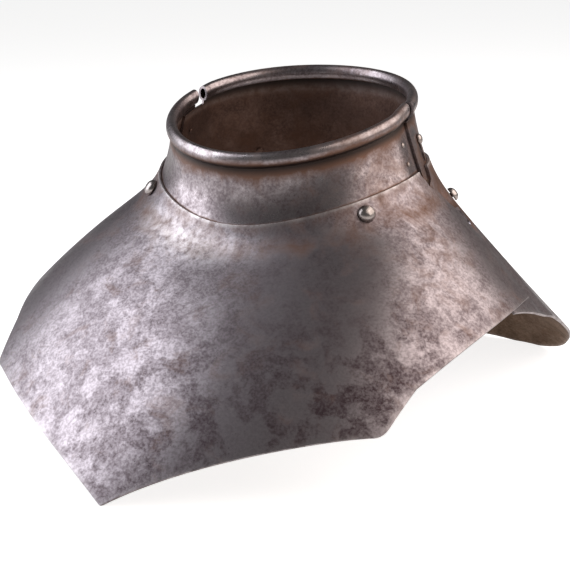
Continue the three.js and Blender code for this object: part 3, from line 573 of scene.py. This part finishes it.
def wall(angle, share, inset, depth):
    """Radius and height on the collar's wall: a quadratic curve from the flange to the roll's underside,
    which leans in first, and a depth square to it towards the neck."""
    half = COLLAR_SHEET / 2
    foot = np.stack(np.broadcast_arrays(*shell(angle, 0 * angle, PLATE_STEP + inset)))
    out = shell(angle, 0 * angle, 0 * angle)
    under = shell(angle, 0 * angle, 0 * angle + 1)
    slope = (out[0] - under[0]) / (out[1] - under[1])
    roll_drop = (ROLL_RADIUS + ROLL_RISE) * math.cos(math.asin(half / ROLL_RADIUS))
    head = np.stack(np.broadcast_arrays(rim_radius(angle) - inset + half, rim_height(angle) - roll_drop))
    reach = WALL_HOLLOW * np.hypot(*(head - foot))
    lean = foot + reach * np.stack([-np.ones_like(slope), slope]) / np.hypot(slope, 1)
    curve = (1 - share) ** 2 * foot + 2 * share * (1 - share) * lean + share**2 * head
    tangent = (1 - share) * (lean - foot) + share * (head - lean)
    tangent = tangent / np.hypot(*tangent)
    return curve[0] - depth * tangent[1], curve[1] + depth * tangent[0]


def lap_reach(angle):
    """How far a collar reaches down inside the flange: less next to the notch at each shoulder."""
    from_middle = np.abs(half_turn(angle) - SHOULDER_LAP_ANGLE)
    outside = ease(from_middle, SHOULDER_LAP_HALF, SHOULDER_LAP_HALF + SHOULDER_LAP_BLEND)
    return SHOULDER_LAP_REACH + (LAP_REACH - SHOULDER_LAP_REACH) * outside


def collar_faces(angle, inset):
    """Outer and inner face of a collar as grids, from the end of the curl down to the foot: the roll is
    (r sin t, -(r + rise) cos t) about its middle, t from the wall's top until the curl nearly meets it."""
    angle, inset = angle[:, None], inset[:, None]
    half = COLLAR_SHEET / 2
    bore = ROLL_RADIUS - COLLAR_SHEET
    laps = lap_reach(angle) * np.linspace(1, 0, LAP_ROWS + 1)[:-1]
    shares = np.linspace(0, 1, WALL_ROWS + 1)[:-1]
    steps = np.linspace(0, 1, CURL_ROWS)
    faces = []
    for radius, start, depth in ((ROLL_RADIUS, math.asin(half / ROLL_RADIUS), 0),
                                 (bore, -math.asin(half / bore), COLLAR_SHEET)):
        end = 2 * math.pi - math.asin((half + GAP) / radius)
        turn = start + (end - start) * steps
        rows = [shell(angle, laps, PLATE_STEP + inset + depth),
                wall(angle, shares, inset, depth),
                (rim_radius(angle) - inset + radius * np.sin(turn),
                 rim_height(angle) - (radius + ROLL_RISE) * np.cos(turn))]
        section = [np.concatenate([row[part] for row in rows], axis=1)[:, ::-1] for part in (0, 1)]
        faces.append(around(angle, *section))
    return faces


def front_inset(angle):
    """The front collar steps inward where it goes under the back collar at the catch."""
    inside = CATCH_SPLIT - JOGGLE_LEAD
    return COLLAR_STEP * ease(angle, inside - JOGGLE, inside)


# The collars are smoother than the plates outside, and browned by oil and sweat inside
collar_steel = steel(
    "rolled_steel_worn_polish", "#aca2a3", "#504144", "#6e5042", roughness=0.25, patina=1, pits=0.8)
collar_inside = steel(
    "rolled_steel_browned_inside", "#705950", "#44322c", "#543728", roughness=0.48, patina=1, pits=0.9)

angle = np.linspace(-PIVOT_SPLIT, CATCH_END, 330)
outer, inner = collar_faces(angle, front_inset(angle))
# Rows run from the curl's end, over the roll and down the wall. Painted shade lies under the roll and at
# the flange, the curl's end is darker, the roll's top and the wearer's left are a little browner, and a
# painted highlight runs along the roll's outer side and on the ledge inside.
row = np.arange(outer.shape[1])
flange_row = CURL_ROWS + WALL_ROWS
# Painted shade under the roll and on the top of the wall; darker at the curl's end; browner over the top
roll_shade_and_grime = (0.68 * crevice(row, CURL_ROWS - 2.5, 6) + 0.08 * crevice(row, CURL_ROWS - 24, 12)
              + 0.6 * crevice(row, 0, 2))
grime_and_shade = roll_shade_and_grime + 0.6 * crevice(row, flange_row, 1.5) + 0.08 * ease(angle, 20, 80)[:, None]
# Painted highlights: along the roll's outer side, and on the ledge inside just below the curl
lip = np.stack([
    0.35 * crevice(row, CURL_ROWS - 15, 3), 0.12 * crevice(row, CURL_ROWS + 2.5, 1.5)])[:, None]
front_collar = make_sheet(
    "front_collar_sheet", outer, inner, grime_and_shade, lip, (collar_steel, collar_inside))
soften_edges(front_collar, 0.3)
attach(front_collar, "root")
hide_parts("front_collar")

# Back collar
# The other strip, rolled the same way. At the catch its wall lies over the front collar below the roll,
# with a keyhole cut for the stud; at the other shoulder a plain tab goes inside.
STUD_ANGLE, STUD_SHARE = 104.5, 0.53
STUD_NECK_RADIUS = 1.7
KEYHOLE_DROP, KEYHOLE_RADIUS = 10, 3.9
PIVOT_OPENING = 5
TAB_OVERLAP, TAB_TOP_DROP, CATCH_TOP_DROP = 12, 6.4, 5.3
END_CLEARANCE = 1.1
PIVOT_RIM_START = 360 - PIVOT_SPLIT - PIVOT_OPENING
TAB_END = 360 - PIVOT_SPLIT + TAB_OVERLAP


def back_inset(angle):
    """The back collar steps inward where its tab goes inside the front collar at the pivot."""
    inside = 360 - PIVOT_SPLIT - JOGGLE_LEAD
    return COLLAR_STEP * ease(angle, inside - JOGGLE, inside)


def collar_face(inset):
    """Function for a point on a collar's outer face, by angle and share of the wall below the roll."""
    def point(angle, travel):
        angle = np.array(angle, float)
        return around(angle, *wall(angle, -travel, inset, 0))
    return point


def roll_cutter(start, end, depth):
    """Closed block between two angles, round the roll and down to a depth below its middle."""
    angles, margin = np.linspace(start, end, 25), 4 * ROLL_RADIUS
    corners = [(margin, -depth), (margin, margin), (-margin, margin), (-margin, -depth)]
    radius, height = rim_radius(angles), rim_height(angles)
    rows = np.stack([around(angles, radius + x, height + z) for x, z in corners], axis=1)
    index = np.arange(rows.shape[0] * 4).reshape(-1, 4)
    ahead = np.roll(index, -1, axis=1)
    sides = np.stack([index[:-1], index[1:], ahead[1:], ahead[:-1]], axis=-1).reshape(-1, 4)
    return rows.reshape(-1, 3), sides.tolist() + [index[0].tolist(), index[-1, ::-1].tolist()]


angle = np.linspace(CATCH_SPLIT, TAB_END, 330)
outer, inner = collar_faces(angle, back_inset(angle))
# Painted shade round the keyhole below the stud; browner towards the foot, part brown stain and part
# painted shade in the notch
painted_keyhole_shade = crevice(angle, STUD_ANGLE, 5)[:, None] * crevice(row, flange_row - 11, 8)
grime_and_shade = roll_shade_and_grime + 0.25 * crevice(row, row[-1], 18) + 0.5 * painted_keyhole_shade
back_collar = make_sheet(
    "back_collar_sheet", outer, inner, grime_and_shade, lip, (collar_steel, collar_inside))
stud_place = place_on(collar_face(0), STUD_ANGLE, -STUD_SHARE)
neck = STUD_NECK_RADIUS + GAP
corner = math.asin(neck / KEYHOLE_RADIUS)
turn = np.linspace(0, math.pi, 17)
slot_top = neck * np.stack([np.cos(turn), np.sin(turn)], axis=-1)
turn = np.linspace(math.pi / 2 + corner, 5 * math.pi / 2 - corner, 41)
round_hole = KEYHOLE_RADIUS * np.stack([np.cos(turn), np.sin(turn)], axis=-1) - [0, KEYHOLE_DROP]
cut_out(back_collar, [
    prism(stud_place, np.concatenate([slot_top, round_hole]), 2 * COLLAR_STEP),
    roll_cutter(PIVOT_RIM_START, TAB_END + END_CLEARANCE, TAB_TOP_DROP),
    roll_cutter(CATCH_SPLIT - END_CLEARANCE, CATCH_END + END_CLEARANCE, CATCH_TOP_DROP)])
soften_edges(back_collar, 0.3)
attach(back_collar, "root")
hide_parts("back_collar")

# Catch spring
# A leaf of springy sheet inside the collars, riveted to the front one, that presses the stud out through
# the keyhole. It was left dark from hardening.
SPRING_SHEET = 1
SPRING_START, SPRING_RUN_ON, SPRING_STEP = 80, 11, 2.5
SPRING_FOOT, SPRING_TOP = 0.12, 0.77


def spring_inset(angle):
    """Inside the front collar, then out against the back collar behind the keyhole."""
    clear = CATCH_END + END_CLEARANCE
    return COLLAR_STEP + front_inset(angle) * (1 - ease(angle, clear, clear + SPRING_STEP))


# Hardened in oil and left unpolished
spring_steel = steel(
    "spring_steel_dark_from_hardening", "#8a8078", "#4d4541", "#5a4030", roughness=0.38, patina=1, pits=1)
angle = np.linspace(SPRING_START, CATCH_END + SPRING_RUN_ON, 90)[:, None]
shares = np.linspace(SPRING_TOP, SPRING_FOOT, 24)[None, :]
angle, shares = np.broadcast_arrays(angle, shares)
outer = around(angle, *wall(angle, shares, spring_inset(angle), 0))
inner = around(angle, *wall(angle, shares, spring_inset(angle), SPRING_SHEET))
catch_spring = make_sheet(
    "catch_spring_leaf", outer, inner, 0.1 + 0 * angle, 0, (spring_steel, spring_steel))
soften_edges(catch_spring, 0.2)
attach(catch_spring, "root")
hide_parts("catch_spring")

# Rivets and studs
# Each was cut from bar, pushed through the sheets and hammered over a little inside; the heads are domed
# and shine from handling, and are browner round their feet.
FRONT_RIVET_ANGLE, BACK_RIVET_ANGLE, RIVET_DISTANCE = 58.2, 135, 4
RIVET_HEAD_RADIUS, RIVET_HEAD_HEIGHT, RIVET_SHANK_RADIUS = 5.2, 4, 1.5
RIVET_LIFT = 0.6
RIVET_TAIL_RADIUS, RIVET_TAIL_HEIGHT = 2.6, 0.9
PIN_ANGLE, PIN_HEAD_RADIUS, PIN_HEAD_HEIGHT, PIN_SHANK_RADIUS = 87.3, 1.6, 0.7, 0.8
PIN_SHARES = {"catch_rivet_upper": 0.66, "catch_rivet_lower": 0.26}
STUD_HEAD_RADIUS, STUD_HEAD_HEIGHT = 3.4, 2.4
TAB_RIVET_ANGLE, TAB_RIVET_SHARE = 90.5, 0.5
TAB_RIVET_HEAD_RADIUS, TAB_RIVET_HEAD_HEIGHT = 2.6, 1.4
SHOULDER_STUD_ANGLE, SHOULDER_STUD_DISTANCE = 117, 14.2
SHOULDER_STUD_HEAD_RADIUS, SHOULDER_STUD_HEAD_HEIGHT = 4.6, 3.6
HEAD_LIP = 0.12

# Soft steel, domed with a punch and kept bright by handling
rivet_steel = steel(
    "domed_rivet_steel_handled_bright", "#bcb3af", "#786e6a", "#5b4131",
    roughness=0.23, patina=0.8, pits=0.5)


def plate_face(angle, distance):
    """Point on the plates' outer face."""
    angle, distance = np.array(angle, float), np.array(distance, float)
    return around(angle, *shell(angle, distance, 0))


def rivet(node, place, head_radius, head_height, shank_radius, grip, tail_radius, stand=GAP):
    """Rivet turned round its own axis: head (r cos t, h sin t) flattened on top, a shank, a domed tail."""
    origin, axes = place
    t = np.linspace(0, math.pi / 2, 15)
    head = np.column_stack([head_radius * np.cos(t) ** 0.86, head_height * np.sin(t) ** 1.04])
    lip = [[head_radius * 0.9, -HEAD_LIP], [head_radius * 0.98, 0]]
    tail = np.column_stack([tail_radius * np.sin(t) ** 0.8, -grip - RIVET_TAIL_HEIGHT * np.cos(t)])
    profile = np.concatenate([tail, [[shank_radius, -grip], [shank_radius, -HEAD_LIP]], lip, head[1:]])
    profile[-1, 0] = profile[0, 0] = 0
    spin = np.linspace(0, 2 * math.pi, 49)[:-1]
    ring = np.stack([np.outer(profile[1:-1, 0], np.cos(spin)), np.outer(profile[1:-1, 0], np.sin(spin)),
                     np.tile(profile[1:-1, 1:2], (1, len(spin)))], axis=-1)
    flat = np.concatenate([ring.reshape(-1, 3), [[0, 0, profile[0, 1]], [0, 0, profile[-1, 1]]]])
    flat[:, 2] += stand
    index = np.arange(ring.shape[0] * ring.shape[1]).reshape(ring.shape[:2])
    ahead = np.roll(index, -1, axis=1)
    sides = np.stack([index[:-1], ahead[:-1], ahead[1:], index[1:]], axis=-1).reshape(-1, 4)
    foot = [[b, a, index.size] for a, b in zip(index[0], ahead[0])]
    top = [[a, b, index.size + 1] for a, b in zip(index[-1], ahead[-1])]
    mesh = bpy.data.meshes.new(node + "_round")
    faces = sides.tolist() + foot + top
    mesh.from_pydata(to_frame(origin + flat @ axes).tolist(), [], faces)
    mesh.polygons.foreach_set("use_smooth", np.ones(len(mesh.polygons), bool))
    set_share(mesh, "grime_and_shade", 0.3 * crevice(flat[:, 2], stand, 0.7))
    piece = bpy.data.objects.new(node + "_round", mesh)
    bpy.context.scene.collection.objects.link(piece)
    mesh.materials.append(rivet_steel)
    mesh.materials.append(collar_inside)
    mesh.polygons.foreach_set("material_index", np.array(
        [flat[list(face), 2].max() < 0 for face in faces], np.int32))
    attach(piece, "root")
    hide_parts(node)


flange_grip = RIVET_LIFT + PLATE_STEP + COLLAR_STEP
leaf_grip = 2 * GAP + COLLAR_STEP + SPRING_SHEET
pin_face = collar_face(front_inset(np.array(float(PIN_ANGLE))))
flange_angles = {
    "front_rivet_left": FRONT_RIVET_ANGLE, "front_rivet_right": -FRONT_RIVET_ANGLE,
    "back_rivet_left": BACK_RIVET_ANGLE, "back_rivet_right": -BACK_RIVET_ANGLE}
for node, rivet_angle in flange_angles.items():
    rivet(node, place_on(plate_face, rivet_angle, RIVET_DISTANCE), RIVET_HEAD_RADIUS, RIVET_HEAD_HEIGHT,
          RIVET_SHANK_RADIUS, flange_grip, RIVET_TAIL_RADIUS, RIVET_LIFT)
for node, share in PIN_SHARES.items():
    rivet(node, place_on(pin_face, PIN_ANGLE, -share), PIN_HEAD_RADIUS, PIN_HEAD_HEIGHT,
          PIN_SHANK_RADIUS, leaf_grip, PIN_HEAD_RADIUS)
rivet("catch_stud", stud_place, STUD_HEAD_RADIUS, STUD_HEAD_HEIGHT, STUD_NECK_RADIUS, leaf_grip,
      RIVET_TAIL_RADIUS)
rivet("tab_rivet", place_on(collar_face(0), -TAB_RIVET_ANGLE, -TAB_RIVET_SHARE), TAB_RIVET_HEAD_RADIUS,
      TAB_RIVET_HEAD_HEIGHT, PIN_SHANK_RADIUS, GAP + 2 * COLLAR_STEP, PIN_HEAD_RADIUS)
rivet("shoulder_stud", place_on(back_face, SHOULDER_STUD_ANGLE, SHOULDER_STUD_DISTANCE),
      SHOULDER_STUD_HEAD_RADIUS, SHOULDER_STUD_HEAD_HEIGHT, RIVET_SHANK_RADIUS,
      RIVET_LIFT + PLATE_STEP, RIVET_TAIL_RADIUS, RIVET_LIFT)

# Floor
# A sheet of white acrylic, lit a little from below, as on a table for product photographs. The camera
# sees it glow more than the steel does, alike from every side. Real acrylic wouldn't do that, but it
# keeps the floor as pale as the photograph's and the reflections in the steel dark.
floor_mesh = bpy.data.meshes.new("floor")
floor_mesh.from_pydata([(-6, -6, 0), (6, -6, 0), (6, 6, 0), (-6, 6, 0)], [], [(0, 1, 2, 3)])
floor = bpy.data.objects.new("floor", floor_mesh)
bpy.context.scene.collection.objects.link(floor)
board = bpy.data.materials.new("white_acrylic_lit_from_below")
board.use_nodes = True
board.node_tree.nodes.clear()
seen = add(board.node_tree, "ShaderNodeLightPath").outputs["Is Camera Ray"]
glow = add(board.node_tree, "ShaderNodeMath", {0: seen, 1: 0.5, 2: 0.3}, operation="MULTIPLY_ADD")
board_surface = add(board.node_tree, "ShaderNodeBsdfPrincipled", {
    "Base Color": linear("#e8e8e8"), "Roughness": 0.9, "Specular IOR Level": 0.1,
    "Emission Color": linear("#ffffff"), "Emission Strength": glow.outputs[0]})
add(board.node_tree, "ShaderNodeOutputMaterial", {"Surface": board_surface.outputs[0]})
floor_mesh.materials.append(board)

# Camera
# On the wearer's left of the front and a little above, about 1 m away, with a long lens. The lens and
# the shifts are in pixels of an image 570 pixels wide.
CAMERA_TURN, CAMERA_RISE, CAMERA_DISTANCE = math.radians(29.461), math.radians(15.856), 0.9999
IMAGE_SIDE, LENS_REACH, SHIFT_RIGHT, SHIFT_UP = 570, 1595.9, -8.53, 22.07
target = neck_axis + [0, 0, 0.060]
direction = np.array([math.sin(CAMERA_TURN) * math.cos(CAMERA_RISE),
                      -math.cos(CAMERA_TURN) * math.cos(CAMERA_RISE), math.sin(CAMERA_RISE)])
camera_data = bpy.data.cameras.new("camera")
camera = bpy.data.objects.new("camera", camera_data)
bpy.context.scene.collection.objects.link(camera)
camera.location = target + CAMERA_DISTANCE * direction
camera.rotation_euler = (math.pi / 2 - CAMERA_RISE, 0, CAMERA_TURN)
camera_data.sensor_width = 36
camera_data.lens = camera_data.sensor_width * LENS_REACH / IMAGE_SIDE
camera_data.shift_x, camera_data.shift_y = SHIFT_RIGHT / IMAGE_SIDE, SHIFT_UP / IMAGE_SIDE
camera_data.clip_start, camera_data.clip_end = 0.05, 30
bpy.context.scene.camera = camera

# Light
# Two soft boxes, one on each side of the camera and above the piece, and a dim room.
bpy.context.scene.view_settings.view_transform = "Standard"
world = bpy.data.worlds.new("studio")
bpy.context.scene.world = world
world.use_nodes = True
world.node_tree.nodes["Background"].inputs["Color"].default_value = linear("#f2f2f2")
world.node_tree.nodes["Background"].inputs["Strength"].default_value = 0.12


def point_at(place, aim):
    """Rotation that turns the -Z axis from a place towards an aim, with Y up."""
    x, y, z = np.array(aim, float) - np.array(place, float)
    return math.atan2(math.hypot(x, y), -z), 0, math.atan2(-x, y)


def soft_box(name, place, aim, width, height, power, colour):
    """Area light at a place in metres, turned towards the aim."""
    light = bpy.data.lights.new(name, "AREA")
    light.shape = "RECTANGLE"
    light.size, light.size_y, light.energy = width, height, power
    light.color = linear(colour)[:3]
    box = bpy.data.objects.new(name, light)
    bpy.context.scene.collection.objects.link(box)
    box.location = place
    box.rotation_euler = point_at(place, aim)


right_of_camera = np.array([math.cos(CAMERA_TURN), math.sin(CAMERA_TURN), 0])
toward_camera = np.array([math.sin(CAMERA_TURN), -math.cos(CAMERA_TURN), 0])
middle = neck_axis + [0, 0, 0.1]
soft_box("soft_box_left", middle - 0.98 * right_of_camera - 0.1 * toward_camera + [0, 0, 0.5], middle,
         0.95, 1.25, 12, "#f3f7ff")
soft_box("soft_box_right", middle + 0.95 * right_of_camera + 0.15 * toward_camera + [0, 0, 0.8], middle,
         1.9, 1.3, 17.5, "#fff4ec")
